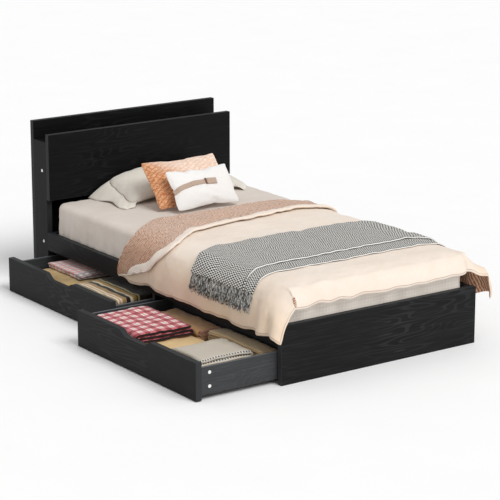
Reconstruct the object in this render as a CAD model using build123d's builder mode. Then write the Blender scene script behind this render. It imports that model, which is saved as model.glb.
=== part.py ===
from build123d import *
import os

# A twin platform bed with a trough headboard and two drawers that roll out of its left side,
# made up with its mattress and bedding. Units are millimetres.
# The origin is on the floor, under the centre leg at the middle of the bed.
# +X is to the right, +Y is towards the headboard, +Z is up, and the drawers open towards -X.

os.makedirs("parts", exist_ok=True)

# ---------------------------------------------------------------- driving dimensions

bed_width = 1060
bed_length = 2077
outer_board = 28
inner_board = 18
drawer_board = 12
eased_edge = 1.0

footboard_height = 260
rail_top = 257
rail_bottom = 170

headboard_height = 792
headboard_front_top = 744
headboard_front_bottom = 420
headboard_gap = 116
trough_floor = 703.5
shelf_thickness = 17

slat_count = 14
slat_width = 60
slat_thickness = 15
slat_end_gap = 8
cleat_size = 20
beam_width = 30
beam_bottom = 130
leg_size = 40
leg_places = (-500, 0, 500)

drawer_gap = 3
drawer_depth = 500
drawer_bottom_z = 35
drawer_bottom_thickness = 6
groove_depth = 5
cut_past = 1
front_bottom = 3
front_top = 167
drawer_side_bottom = 23.5
drawer_side_top = 142.5
drawer_side_inset = 4
scoop_width = 248
scoop_floor = 133
scoop_depth = 26

near_pull = 405.7
far_pull = 219.7

wheel_radius = 13
wheel_width = 14
axle_radius = 2
axle_clearance = 0.05
wheel_side_gap = 0.5
bracket_sheet = 2
caster_plate_length = 44
caster_cheek_length = 16
cheek_below_axle = 5
axle_head_rim = 1.5
axle_head_thickness = 1.2
wheel_edge = 2
wheel_setback = (60, 450)
wheel_inset = 120

mattress_width = 990
mattress_length = 1865
mattress_height = 200
mattress_foot_gap = 7
sheet_thickness = 2
bed_top_gap = 1
duvet_thickness = 20
throw_thickness = 7

# ---------------------------------------------------------------- worked-out places

left = -bed_width / 2
right = bed_width / 2
foot = -bed_length / 2
head = bed_length / 2
inner_left = left + outer_board
inner_right = right - outer_board
inner_foot = foot + outer_board
back_panel_face = head - outer_board
front_panel_back = back_panel_face - headboard_gap
front_panel_face = front_panel_back - outer_board
shelf_underside = trough_floor - shelf_thickness

slat_underside = rail_bottom + cleat_size
mattress_bottom = slat_underside + slat_thickness
mattress_top = mattress_bottom + mattress_height
mattress_foot = inner_foot + mattress_foot_gap
mattress_head = mattress_foot + mattress_length
sheet_top = mattress_top + sheet_thickness

front_length = (front_panel_back - inner_foot - 4 * drawer_gap - inner_board) / 2
near_foot = inner_foot + drawer_gap
divider_foot = near_foot + front_length + drawer_gap
far_foot = divider_foot + inner_board + drawer_gap


# ---------------------------------------------------------------- shared shapes


def save(builder, name):
    builder.part.label = name
    export_step(builder.part, f"parts/{name}.step")


def box_between(x, y, z, mode=Mode.ADD):
    """A box given by its lowest and highest place along each axis."""
    with Locations(((x[0] + x[1]) / 2, (y[0] + y[1]) / 2, (z[0] + z[1]) / 2)):
        Box(x[1] - x[0], y[1] - y[0], z[1] - z[0], mode=mode)


def make_board(name, x, y, z):
    """A straight board with eased edges."""
    with BuildPart() as board:
        box_between(x, y, z)
        fillet(board.edges(), eased_edge)
    save(board, name)


def make_boards(name, boxes):
    """Several equal boards that share one node, each a solid of its own."""
    with BuildPart() as boards:
        for x, y, z in boxes:
            box_between(x, y, z)
        fillet(boards.edges(), eased_edge)
    save(boards, name)


def make_folded_cloth(name, x, y, z, roundness=14):
    """A stack of folded cloth: a box with soft sides."""
    with BuildPart() as cloth:
        box_between(x, y, z)
        fillet(cloth.edges().filter_by(Axis.Z), roundness)
        fillet(cloth.faces().sort_by(Axis.Z)[-1].edges(), min(roundness, (z[1] - z[0]) / 3))
    save(cloth, name)


# ---------------------------------------------------------------- bed frame

make_board("footboard", (left, right), (foot, inner_foot), (0, footboard_height))
make_board("left_rail", (left, inner_left), (inner_foot, front_panel_back), (rail_bottom, rail_top))
make_board("right_side_panel", (inner_right, right), (inner_foot, front_panel_back), (0, rail_top))
make_board(
    "drawer_divider",
    (left, -beam_width / 2),
    (divider_foot, divider_foot + inner_board),
    (0, rail_bottom),
)
make_board(
    "head_cross_rail",
    (inner_left, inner_right),
    (front_panel_face, front_panel_back),
    (rail_bottom, rail_top),
)
make_board(
    "centre_beam",
    (-beam_width / 2, beam_width / 2),
    (inner_foot, front_panel_face),
    (beam_bottom, slat_underside),
)
make_boards(
    "centre_legs",
    [
        ((-leg_size / 2, leg_size / 2), (y - leg_size / 2, y + leg_size / 2), (0, beam_bottom))
        for y in leg_places
    ],
)
for side, edge in (("left", inner_left), ("right", inner_right - cleat_size)):
    make_board(
        f"slat_cleat_{side}",
        (edge, edge + cleat_size),
        (inner_foot, front_panel_face),
        (rail_bottom, slat_underside),
    )

slat_first = inner_foot + slat_end_gap
slat_last = front_panel_face - slat_end_gap - slat_width
slat_pitch = (slat_last - slat_first) / (slat_count - 1)
make_boards(
    "slats",
    [
        (
            (inner_left, inner_right),
            (slat_first + i * slat_pitch, slat_first + i * slat_pitch + slat_width),
            (slat_underside, mattress_bottom),
        )
        for i in range(slat_count)
    ],
)

# ---------------------------------------------------------------- headboard

make_board("headboard_back_panel", (left, right), (back_panel_face, head), (0, headboard_height))
make_board(
    "headboard_front_panel",
    (left, right),
    (front_panel_face, front_panel_back),
    (headboard_front_bottom, headboard_front_top),
)
headboard_uprights = {
    "headboard_left_side": (left, inner_left),
    "headboard_centre_panel": (-inner_board / 2, inner_board / 2),
    "headboard_right_side": (inner_right, right),
}
for name, x in headboard_uprights.items():
    make_board(name, x, (front_panel_back, back_panel_face), (0, shelf_underside))
make_board(
    "headboard_shelf",
    (left, right),
    (front_panel_back, back_panel_face),
    (shelf_underside, trough_floor),
)

# ---------------------------------------------------------------- fittings of the frame

cover_radius = 7.5
cover_thickness = 1.2
drawer_cover_setback = 41
drawer_cover_heights = (57, 117)
frame_cover_setback = 38
frame_cover_y = front_panel_back + frame_cover_setback
frame_cover_heights = (208, 560)

with BuildPart() as frame_cam_covers:
    for outside, height in ((x, z) for x in (left, right) for z in frame_cover_heights):
        facing = Plane((outside, frame_cover_y, height), z_dir=(outside, 0, 0))
        with BuildSketch(facing):
            Circle(cover_radius)
        extrude(amount=cover_thickness)
save(frame_cam_covers, "frame_cam_covers")

bracket_leg = 30
bracket_thickness = 3
bracket_heights = (210, 250)
screw_head_radius = 4
screw_head_height = 1.5
screw_margin = 10
bracket_corners = [
    (inner_left, inner_foot, 1, 1),
    (inner_right, inner_foot, -1, 1),
    (inner_left, front_panel_face, 1, -1),
    (inner_right, front_panel_face, -1, -1),
]

with BuildPart() as corner_brackets:
    for x, y, to_x, to_y in bracket_corners:
        with BuildSketch(Plane.XY.offset(bracket_heights[0])):
            with BuildLine():
                Polyline(
                    (x, y),
                    (x + to_x * bracket_leg, y),
                    (x + to_x * bracket_leg, y + to_y * bracket_thickness),
                    (x + to_x * bracket_thickness, y + to_y * bracket_thickness),
                    (x + to_x * bracket_thickness, y + to_y * bracket_leg),
                    (x, y + to_y * bracket_leg),
                    close=True,
                )
            make_face()
        extrude(amount=bracket_heights[1] - bracket_heights[0])
save(corner_brackets, "corner_brackets")

with BuildPart() as bracket_screws:
    screw_out = bracket_leg - screw_margin
    for x, y, to_x, to_y in bracket_corners:
        for height in (bracket_heights[0] + screw_margin, bracket_heights[1] - screw_margin):
            on_rail = (x + to_x * bracket_thickness, y + to_y * screw_out, height)
            on_end = (x + to_x * screw_out, y + to_y * bracket_thickness, height)
            for place, direction in ((on_rail, (to_x, 0, 0)), (on_end, (0, to_y, 0))):
                with BuildSketch(Plane(place, z_dir=direction)):
                    Circle(screw_head_radius)
                extrude(amount=screw_head_height)
save(bracket_screws, "bracket_screws")

# ---------------------------------------------------------------- drawers


def drawer_front(drawer, front_x, foot_y):
    """The drawer's front board, with a finger scoop in its top edge."""
    middle = foot_y + front_length / 2
    scoop_low = front_top - scoop_depth
    front_back = front_x + outer_board
    side_setback = drawer_side_inset + drawer_board
    with BuildPart() as front:
        with BuildSketch(Plane.YZ.offset(front_x)):
            with BuildLine():
                rise = Spline(
                    (middle - scoop_width / 2, front_top),
                    (middle - scoop_floor / 2, scoop_low),
                    tangents=((1, -0.25), (1, 0)),
                )
                low = Line(rise @ 1, (middle + scoop_floor / 2, scoop_low))
                fall = Spline(
                    low @ 1,
                    (middle + scoop_width / 2, front_top),
                    tangents=((1, 0), (1, 0.25)),
                )
                Polyline(
                    fall @ 1,
                    (foot_y + front_length, front_top),
                    (foot_y + front_length, front_bottom),
                    (foot_y, front_bottom),
                    (foot_y, front_top),
                    rise @ 0,
                )
            make_face()
        extrude(amount=outer_board)
        fillet(front.edges(), eased_edge)
        box_between(
            (front_back - groove_depth, front_back + cut_past),
            (foot_y + side_setback, foot_y + front_length - side_setback),
            (drawer_bottom_z, drawer_bottom_z + drawer_bottom_thickness),
            mode=Mode.SUBTRACT,
        )
    save(front, f"{drawer}_drawer_front")


def drawer_box(drawer, front_x, foot_y):
    """The two sides, the back and the bottom, which sits in grooves in all four boards."""
    back_x = front_x + drawer_depth
    side_x = (front_x + outer_board, back_x)
    foot_side = (foot_y + drawer_side_inset, foot_y + drawer_side_inset + drawer_board)
    head_outside = foot_y + front_length - drawer_side_inset
    head_side = (head_outside - drawer_board, head_outside)
    bottom_x = (front_x + outer_board - groove_depth, back_x - drawer_board + groove_depth)
    bottom_y = (foot_side[1] - groove_depth, head_side[0] + groove_depth)
    bottom_z = (drawer_bottom_z, drawer_bottom_z + drawer_bottom_thickness)
    side_z = (drawer_side_bottom, drawer_side_top)

    for name, y in (("foot_side", foot_side), ("head_side", head_side)):
        with BuildPart() as side:
            box_between(side_x, y, side_z)
            fillet(side.edges(), eased_edge)
            box_between((side_x[0], bottom_x[1]), bottom_y, bottom_z, mode=Mode.SUBTRACT)
        save(side, f"{drawer}_drawer_{name}")

    with BuildPart() as back:
        box_between((back_x - drawer_board, back_x), (foot_side[1], head_side[0]), side_z)
        fillet(back.edges(), eased_edge)
        box_between(bottom_x, (foot_side[1], head_side[0]), bottom_z, mode=Mode.SUBTRACT)
    save(back, f"{drawer}_drawer_back")

    with BuildPart() as bottom:
        box_between(bottom_x, (foot_side[1], head_side[0]), bottom_z)
        box_between((side_x[0], bottom_x[1]), bottom_y, bottom_z)
    save(bottom, f"{drawer}_drawer_bottom")
    return foot_side, head_side


def drawer_cam_covers(drawer, front_x, foot_side, head_side):
    """The round covers over the fittings that hold the front to each side."""
    cover_x = front_x + outer_board + drawer_cover_setback
    with BuildPart() as covers:
        for y, outwards in ((foot_side[0], -1), (head_side[1], 1)):
            for height in drawer_cover_heights:
                with BuildSketch(Plane((cover_x, y, height), z_dir=(0, outwards, 0))):
                    Circle(cover_radius)
                extrude(amount=cover_thickness)
    save(covers, f"{drawer}_drawer_cam_covers")


def drawer_casters(drawer, front_x, foot_y):
    """Four fixed casters under the bottom: brackets, axles and one node for each wheel."""
    cheek_in = wheel_width / 2 + wheel_side_gap
    cheek_out = cheek_in + bracket_sheet
    places = {
        f"{depth_name}_{end_name}": (front_x + setback, y)
        for depth_name, setback in zip(("front", "back"), wheel_setback)
        for end_name, y in (("foot", foot_y + wheel_inset), ("head", foot_y + front_length - wheel_inset))
    }

    with BuildPart() as brackets:
        for x, y in places.values():
            plate_x = (x - caster_plate_length / 2, x + caster_plate_length / 2)
            cheek_x = (x - caster_cheek_length / 2, x + caster_cheek_length / 2)
            plate_z = (drawer_bottom_z - bracket_sheet, drawer_bottom_z)
            box_between(plate_x, (y - cheek_out, y + cheek_out), plate_z)
            for inner, outer in ((cheek_in, cheek_out), (-cheek_out, -cheek_in)):
                box_between(cheek_x, (y + inner, y + outer), (wheel_radius - cheek_below_axle, drawer_bottom_z))
            with Locations(Plane((x, y, wheel_radius), z_dir=(0, 1, 0))):
                Cylinder(axle_radius, 2 * (cheek_out + cut_past), mode=Mode.SUBTRACT)
    save(brackets, f"{drawer}_caster_brackets")

    with BuildPart() as axles:
        for x, y in places.values():
            with Locations(Plane((x, y, wheel_radius), z_dir=(0, 1, 0))):
                Cylinder(axle_radius, 2 * cheek_out)
            for end in (-1, 1):
                with BuildSketch(Plane((x, y + end * cheek_out, wheel_radius), z_dir=(0, end, 0))):
                    Circle(axle_radius + axle_head_rim)
                extrude(amount=axle_head_thickness)
    save(axles, f"{drawer}_caster_axles")

    for name, (x, y) in places.items():
        with BuildPart() as wheel:
            with BuildSketch(Plane((x, y - wheel_width / 2, wheel_radius), z_dir=(0, 1, 0))):
                Circle(wheel_radius)
                Circle(axle_radius + axle_clearance, mode=Mode.SUBTRACT)
            extrude(amount=wheel_width)
            rims = wheel.edges().filter_by(GeomType.CIRCLE).group_by(SortBy.RADIUS)[-1]
            fillet(rims, wheel_edge)
        save(wheel, f"{drawer}_wheel_{name}")


for drawer, pull, foot_y in (("near", near_pull, near_foot), ("far", far_pull, far_foot)):
    front_x = left - pull
    drawer_front(drawer, front_x, foot_y)
    foot_side, head_side = drawer_box(drawer, front_x, foot_y)
    drawer_cam_covers(drawer, front_x, foot_side, head_side)
    drawer_casters(drawer, front_x, foot_y)

# ---------------------------------------------------------------- linens in the drawers
# Each cloth is placed from its drawer's front face and from the bed's foot end.

linen_gap = 0.3
linen_floor = drawer_bottom_z + drawer_bottom_thickness + linen_gap
near_lower_top = 98
far_lower_top = 118


def make_linen(drawer, name, out, along, z):
    front_x = left - (near_pull if drawer == "near" else far_pull)
    x = (front_x + out[0], front_x + out[1])
    y = (foot + along[0], foot + along[1])
    make_folded_cloth(f"{drawer}_{name}", x, y, z)


make_linen("near", "tan_cloth", (50, 340), (100, 935), (linen_floor, near_lower_top))
make_linen("near", "red_plaid_cloth", (45, 338), (548, 938), (near_lower_top + linen_gap, 150))
make_linen("near", "cream_knit_cloth", (84, 366), (140, 368), (near_lower_top + linen_gap, 137))
make_linen("near", "fringed_tan_cloth", (345, 472), (530, 890), (linen_floor, 125))
make_linen("near", "striped_tan_cloth", (372, 472), (98, 512), (linen_floor, 130))
make_linen("far", "burlap_cloth", (62, 400), (1497, 1838), (linen_floor, far_lower_top))
make_linen("far", "small_plaid_cloth", (150, 372), (1515, 1838), (far_lower_top + linen_gap, 144))
make_linen("far", "striped_towels", (70, 390), (1112, 1485), (linen_floor, 132))

# ---------------------------------------------------------------- mattress and fitted sheet

mattress_x = (-mattress_width / 2, mattress_width / 2)
mattress_corner = 45
mattress_edge = 25


def mattress_block(grow=0):
    """The mattress's rounded block, or the same block grown all round."""
    box_between(
        (mattress_x[0] - grow, mattress_x[1] + grow),
        (mattress_foot - grow, mattress_head + grow),
        (mattress_bottom, mattress_top + grow),
    )


def round_mattress(block, grow=0):
    fillet(block.edges().filter_by(Axis.Z), mattress_corner + grow)
    fillet(block.faces().sort_by(Axis.Z)[-1].edges(), mattress_edge + grow)


with BuildPart() as mattress:
    mattress_block()
    round_mattress(mattress)
save(mattress, "mattress")

sheet_foot = -250
hem_above_slats = 12
sheet_hem = mattress_bottom + hem_above_slats
with BuildPart() as fitted_sheet:
    mattress_block(sheet_thickness)
    round_mattress(fitted_sheet, sheet_thickness)
    add(mattress.part, mode=Mode.SUBTRACT)
    box_between((left, right), (foot, sheet_foot), (0, headboard_height), mode=Mode.SUBTRACT)
    box_between((left, right), (foot, head), (0, sheet_hem), mode=Mode.SUBTRACT)
save(fitted_sheet, "fitted_sheet")

# ---------------------------------------------------------------- duvet and throw
# The drape is one line across the bed: down each side outside the rails, and flat over the top.

drape_low = 192
drape_side = 542
drape_shoulder = 335
drape_crown = 482
drape_top = sheet_top + bed_top_gap
duvet_head = 251.5
fold_foot = -22
fold_thickness = 16
fold_above_hem = 20


def drape_section(y, low, gap, thickness):
    """The cross-section of a cloth that lies on the drape line, or a gap outside it, at one y."""
    with BuildSketch(Plane.XZ.offset(-y)) as section:
        with BuildLine():
            Polyline(
                (-drape_side, low),
                (-drape_side, drape_shoulder),
                (-drape_crown, drape_top),
                (drape_crown, drape_top),
                (drape_side, drape_shoulder),
                (drape_side, low),
            )
            outwards = Side.LEFT
            if gap:
                offset(
                    amount=gap,
                    side=outwards,
                    kind=Kind.INTERSECTION,
                    closed=False,
                    mode=Mode.REPLACE,
                )
                # the moved line runs the other way, so its outer side is its right
                outwards = Side.RIGHT
            offset(amount=thickness, side=outwards, kind=Kind.INTERSECTION)
        make_face()
    return section.sketch


duvet_outside = drape_side + duvet_thickness
foot_hem = 325
corner_tip = 184
foot_drop_y = foot - 8
foot_shoulder_y = mattress_foot - 22
foot_shoulder_drop = 6
foot_clearance = 1
crown_y = mattress_foot + 40
tip_y = foot - 40
tip_root_y = mattress_foot + 60
right_flare = 46
right_flare_low = corner_tip + 8

with BuildPart() as duvet:
    extrude(drape_section(duvet_head, drape_low, 0, duvet_thickness), amount=duvet_head - mattress_foot)
    extrude(
        drape_section(duvet_head, drape_low + fold_above_hem, duvet_thickness, fold_thickness),
        amount=duvet_head - fold_foot,
    )
    # the drop over the foot end of the mattress
    with BuildSketch(Plane.YZ.offset(-duvet_outside)):
        with BuildLine():
            Polyline(
                (crown_y, drape_top),
                (mattress_foot - foot_clearance, drape_top - foot_shoulder_drop),
                (foot_drop_y + duvet_thickness, foot_hem),
                (foot_drop_y, foot_hem),
                (foot_shoulder_y, drape_top + duvet_thickness),
                (crown_y, drape_top + duvet_thickness),
                close=True,
            )
        make_face()
    extrude(amount=2 * duvet_outside)
    # the two foot corners, which hang in a point
    for outside, reach in ((-duvet_outside, duvet_thickness), (duvet_outside, -duvet_thickness)):
        with BuildSketch(Plane.YZ.offset(outside)):
            with BuildLine():
                Polyline(
                    (tip_root_y, drape_shoulder),
                    (foot_drop_y, drape_shoulder),
                    (tip_y, corner_tip),
                    (tip_root_y, drape_low),
                    close=True,
                )
            make_face()
        extrude(amount=reach)
    # the right corner stands further out than the left
    with BuildSketch(Plane.XZ.offset(-mattress_foot)):
        with BuildLine():
            Polyline(
                (duvet_outside, drape_shoulder),
                (duvet_outside + right_flare, right_flare_low),
                (duvet_outside, right_flare_low),
                close=True,
            )
        make_face()
    extrude(amount=mattress_foot - foot_drop_y)
save(duvet, "duvet")

throw_foot = foot + 185
throw_head = foot + 672
throw_low = 283
layer_gap = 0.3
with BuildPart() as throw_blanket:
    extrude(
        drape_section(throw_head, throw_low, duvet_thickness + layer_gap, throw_thickness),
        amount=throw_head - throw_foot,
    )
save(throw_blanket, "throw_blanket")

# ---------------------------------------------------------------- pillows and cushions
# A cushion leans back on its lower edge; its lean is the angle from the mattress to its face.

cushion_rim = 0.8
cushion_lift = 13


def cushion_plane(centre_x, lower_y, height, lean):
    """The plane through a leaning cushion's seam, with its own y up the slope."""
    up = Vector(0, 1, 0).rotate(Axis.X, lean)
    centre = Vector(centre_x, lower_y, sheet_top + cushion_lift) + up * (height / 2)
    return Plane(centre, x_dir=(1, 0, 0), z_dir=Vector(0, 0, 1).rotate(Axis.X, lean))


def make_cushion(name, seam, width, height, thickness):
    """A cushion: thickest over its middle and thin at its seam."""
    with BuildPart() as cushion:
        for out, share in ((-thickness / 2, cushion_rim), (0, 1), (thickness / 2, cushion_rim)):
            with BuildSketch(seam.offset(out)):
                Rectangle(width * share, height * share)
        loft(ruled=True)
    save(cushion, name)


peach_seam = cushion_plane(centre_x=16, lower_y=foot + 1437, height=265, lean=48.7)
make_cushion("peach_cushion", peach_seam, width=430, height=265, thickness=82)

lumbar_thickness = 62
lumbar_seam = cushion_plane(centre_x=30, lower_y=foot + 1350, height=220, lean=54)
make_cushion("lumbar_pillow", lumbar_seam, width=368, height=220, thickness=lumbar_thickness)

strap_width = 24
strap_thickness = 2.5
strap_length = 246
strap_shift = -22
with BuildPart() as lumbar_strap:
    with BuildSketch(lumbar_seam.offset(lumbar_thickness / 2 + layer_gap)):
        with Locations((strap_shift, 0)):
            Rectangle(strap_length, strap_width)
    extrude(amount=strap_thickness)
save(lumbar_strap, "lumbar_strap")

pillow_ends = (-330, 468)
pillow_full = (-215, 365)
pillow_front = foot + 1605
pillow_back = front_panel_face - 4
pillow_base = sheet_top + 4
pillow_rise = 150


def pillow_profile(x, share):
    """The sleeping pillow's outline across its length, with only a share of its full rise."""
    rise = pillow_rise * share
    with BuildSketch(Plane.YZ.offset(x)) as profile:
        with BuildLine():
            Polyline(
                (pillow_front, pillow_base),
                (pillow_back, pillow_base),
                (pillow_back, pillow_base + 0.65 * rise),
                (pillow_back - 60, pillow_base + 0.97 * rise),
                (pillow_back - 120, pillow_base + rise),
                (pillow_front + 45, pillow_base + 0.72 * rise),
                (pillow_front, pillow_base + 0.25 * rise),
                close=True,
            )
        make_face()
    return profile.sketch


with BuildPart() as sleeping_pillow:
    loft(
        [
            pillow_profile(pillow_ends[0], 0.15),
            pillow_profile(pillow_full[0], 1),
            pillow_profile(pillow_full[1], 1),
            pillow_profile(pillow_ends[1], 0.15),
        ],
        ruled=True,
    )
save(sleeping_pillow, "sleeping_pillow")
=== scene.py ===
"""The platform bed's looks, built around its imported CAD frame."""
import contextlib
import math

import bmesh
import bpy
import numpy as np
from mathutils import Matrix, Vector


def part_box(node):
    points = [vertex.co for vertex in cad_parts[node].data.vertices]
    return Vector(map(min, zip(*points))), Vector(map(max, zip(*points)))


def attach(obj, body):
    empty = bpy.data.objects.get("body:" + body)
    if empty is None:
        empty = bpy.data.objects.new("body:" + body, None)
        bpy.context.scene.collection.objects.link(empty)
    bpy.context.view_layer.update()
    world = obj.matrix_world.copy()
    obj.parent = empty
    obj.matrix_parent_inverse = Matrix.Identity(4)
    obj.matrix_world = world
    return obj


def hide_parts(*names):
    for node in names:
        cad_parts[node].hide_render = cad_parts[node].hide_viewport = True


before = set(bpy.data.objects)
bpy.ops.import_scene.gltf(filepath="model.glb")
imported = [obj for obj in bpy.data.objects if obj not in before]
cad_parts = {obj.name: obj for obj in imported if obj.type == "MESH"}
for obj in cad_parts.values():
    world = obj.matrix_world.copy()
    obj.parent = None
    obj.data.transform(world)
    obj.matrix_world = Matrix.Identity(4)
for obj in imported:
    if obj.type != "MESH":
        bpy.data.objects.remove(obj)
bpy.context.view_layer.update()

# ---------------------------------------------------------------- places, from the frame

mattress_low, mattress_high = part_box("mattress")
sheet_low, sheet_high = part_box("fitted_sheet")
duvet_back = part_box("duvet")[1].y
rail_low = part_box("left_rail")[0]
rail_side = -rail_low.x
foot_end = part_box("footboard")[0].y
headboard_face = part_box("headboard_front_panel")[0].y
bed_top = sheet_high.z


# ---------------------------------------------------------------- mesh tools


def smooth(low, high, value):
    """0 below low, 1 above high, and a smooth step between."""
    t = np.clip((value - low) / (high - low), 0, 1)
    return t * t * (3 - 2 * t)


def ease_below(value, limit, share):
    """The values, with only a share of what reaches below the limit."""
    return np.where(value < limit, limit + share * (value - limit), value)


def waves(x, y, size, seed):
    """Smooth uneven waves about size metres long, mostly within -1 and 1, the same on every run."""
    count = 10
    draw = np.random.default_rng(seed)
    total = np.zeros(np.broadcast(x, y).shape)
    for _ in range(count):
        angle = draw.uniform(0, math.tau)
        pitch = size * draw.uniform(0.6, 1.7)
        phase = draw.uniform(0, math.tau)
        along = x * math.cos(angle) + y * math.sin(angle)
        total = total + np.sin(along * math.tau / pitch + phase)
    return total / math.sqrt(count) / 1.2


def pair(a, b):
    """Two arrays as one array of pairs."""
    return np.stack(np.broadcast_arrays(a, b), axis=-1)


def place(x, y, z):
    """Three arrays as one array of points."""
    return np.stack(np.broadcast_arrays(x, y, z), axis=-1).astype(float)


def unit(vectors):
    """The vectors, scaled to a length of 1."""
    return vectors / np.maximum(np.linalg.norm(vectors, axis=-1, keepdims=True), 1e-9)


def lengths_along(line):
    """How far along a line each of its points is."""
    return np.concatenate([[0], np.cumsum(np.linalg.norm(np.diff(line, axis=0), axis=1))])


def half_turn(start, rise, ahead, steps):
    """Points that turn back from a row of starts to twice the rise above them, swinging out ahead."""
    angles = np.linspace(0, math.pi, steps + 2)[1:-1]
    return np.stack([start + rise * (1 - math.cos(a)) + ahead * math.sin(a) for a in angles])


@contextlib.contextmanager
def editing(piece):
    """A piece's mesh, open for editing until the block ends."""
    mesh = bmesh.new()
    mesh.from_mesh(piece.data)
    yield mesh
    mesh.to_mesh(piece.data)
    mesh.free()


def make_piece(name, points, faces, layers=None, slots=None):
    """A smooth mesh piece. layers names each UV layer's values by vertex, and slots each face's material."""
    mesh = bpy.data.meshes.new(name)
    mesh.from_pydata(np.asarray(points).tolist(), [], [tuple(int(i) for i in face) for face in faces])
    order = np.zeros(len(mesh.loops), int)
    mesh.loops.foreach_get("vertex_index", order)
    for layer, values in (layers or {}).items():
        by_corner = np.asarray(values, float)[order]
        mesh.uv_layers.new(name=layer).data.foreach_set("uv", by_corner.ravel())
    mesh.polygons.foreach_set("use_smooth", [True] * len(mesh.polygons))
    if slots is not None:
        mesh.polygons.foreach_set("material_index", slots)
    piece = bpy.data.objects.new(name, mesh)
    bpy.context.scene.collection.objects.link(piece)
    return piece


def grid_faces(rows, columns, first=0, flip=False):
    """The faces of a sheet of points numbered row by row."""
    corner = np.arange(rows * columns).reshape(rows, columns)[:-1, :-1].ravel() + first
    order = (0, columns, columns + 1, 1) if flip else (0, 1, columns + 1, columns)
    return np.stack([corner + step for step in order], axis=1)


def grid_normals(points):
    """The unit normals of a sheet's rows and columns of points."""
    return unit(np.cross(np.gradient(points, axis=1), np.gradient(points, axis=0)))


def border_loop(rows, columns):
    """The numbers of a sheet's border points, all the way round."""
    number = np.arange(rows * columns).reshape(rows, columns)
    return np.concatenate([number[0, :-1], number[:-1, -1], number[-1, :0:-1], number[:0:-1, 0]])


def shell(name, points, thickness, flat, back=0, rim=0, edge=None):
    """A closed cloth about a sheet of points. back and rim are the slots of its reverse and its edge."""
    rows, columns = points.shape[:2]
    offset = grid_normals(points) * (np.broadcast_to(thickness, (rows, columns)) / 2)[..., None]
    body = np.concatenate([(points + offset).reshape(-1, 3), (points - offset).reshape(-1, 3)])
    count = rows * columns
    ring = border_loop(rows, columns)
    ahead = np.roll(ring, -1)
    rim_faces = np.stack([ring, ring + count, ahead + count, ahead], axis=1)
    front_faces = grid_faces(rows, columns)
    back_faces = grid_faces(rows, columns, count, flip=True)
    slots = [0] * len(front_faces) + [back] * len(back_faces) + [rim] * len(rim_faces)
    layers = {"flat": np.tile(flat.reshape(-1, 2), (2, 1))}
    if edge is not None:
        edge = edge if edge.ndim == 3 else pair(edge, edge)
        layers["edge"] = np.tile(edge.reshape(-1, 2), (2, 1))
    return make_piece(name, body, np.concatenate([front_faces, back_faces, rim_faces]), layers, slots)


def spline_weights(t):
    """How much each of four neighbours counts, at a share t of the way between the middle two."""
    before = (3 * t**3 - 6 * t**2 + 4) / 6
    after = (-3 * t**3 + 3 * t**2 + 3 * t + 1) / 6
    return [(1 - t) ** 3 / 6, before, after, t**3 / 6]


def sample(points, row, column):
    """Points of a smooth surface through a sheet, at fractional rows and columns."""
    top, bottom = 2 * points[:1] - points[1:2], 2 * points[-1:] - points[-2:-1]
    tall = np.concatenate([top, points, bottom])
    left, right = 2 * tall[:, :1] - tall[:, 1:2], 2 * tall[:, -1:] - tall[:, -2:-1]
    wide = np.concatenate([left, tall, right], axis=1)
    row, column = np.broadcast_arrays(row, column)
    r = np.clip(np.floor(row).astype(int), 0, points.shape[0] - 2)
    c = np.clip(np.floor(column).astype(int), 0, points.shape[1] - 2)
    found = np.zeros(row.shape + (3,))
    for i, wr in enumerate(spline_weights(row - r)):
        for j, wc in enumerate(spline_weights(column - c)):
            found += wide[r + i, c + j] * (wr * wc)[..., None]
    return found


def curve_through(points, count):
    """Points on a smooth line near a few given ones."""
    grid = np.repeat(np.asarray(points, float)[:, None, :], 3, axis=1)
    return sample(grid, np.linspace(0, len(points) - 1, count), np.ones(count))


def remove(piece):
    bpy.data.objects.remove(piece, do_unlink=True)


def points_of(piece):
    """A piece's points as its modifiers leave them."""
    shown = piece.evaluated_get(bpy.context.evaluated_depsgraph_get())
    found = np.zeros(len(shown.data.vertices) * 3, np.float32)
    shown.data.vertices.foreach_get("co", found)
    return found.reshape(-1, 3).astype(float)


def tubes(name, lines, radius, sides=5):
    """One piece of many thin threads, each along its own line of points."""
    points, faces = [], []
    for line in lines:
        line = np.asarray(line, float)
        along = unit(np.gradient(line, axis=0))
        aside = unit(np.cross(along, (0.31, 0.77, 0.55)))
        other = np.cross(along, aside)
        first = len(points)
        for k, centre in enumerate(line):
            for step in range(sides):
                turn = math.tau * step / sides
                points.append(centre + radius * (math.cos(turn) * aside[k] + math.sin(turn) * other[k]))
        for k in range(len(line) - 1):
            for step in range(sides):
                a, b = first + k * sides + step, first + k * sides + (step + 1) % sides
                faces.append((a, b, b + sides, a + sides))
        last = first + (len(line) - 1) * sides
        faces.append(tuple(first + step for step in reversed(range(sides))))
        faces.append(tuple(last + step for step in range(sides)))
    return make_piece(name, points, faces)


# ---------------------------------------------------------------- material tools


def colour(code):
    """A web colour as Blender's linear red, green, blue and alpha."""
    parts = [int(code[i:i + 2], 16) / 255 for i in (1, 3, 5)]
    return [p / 12.92 if p <= 0.04045 else ((p + 0.055) / 1.055) ** 2.4 for p in parts] + [1.0]


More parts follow.
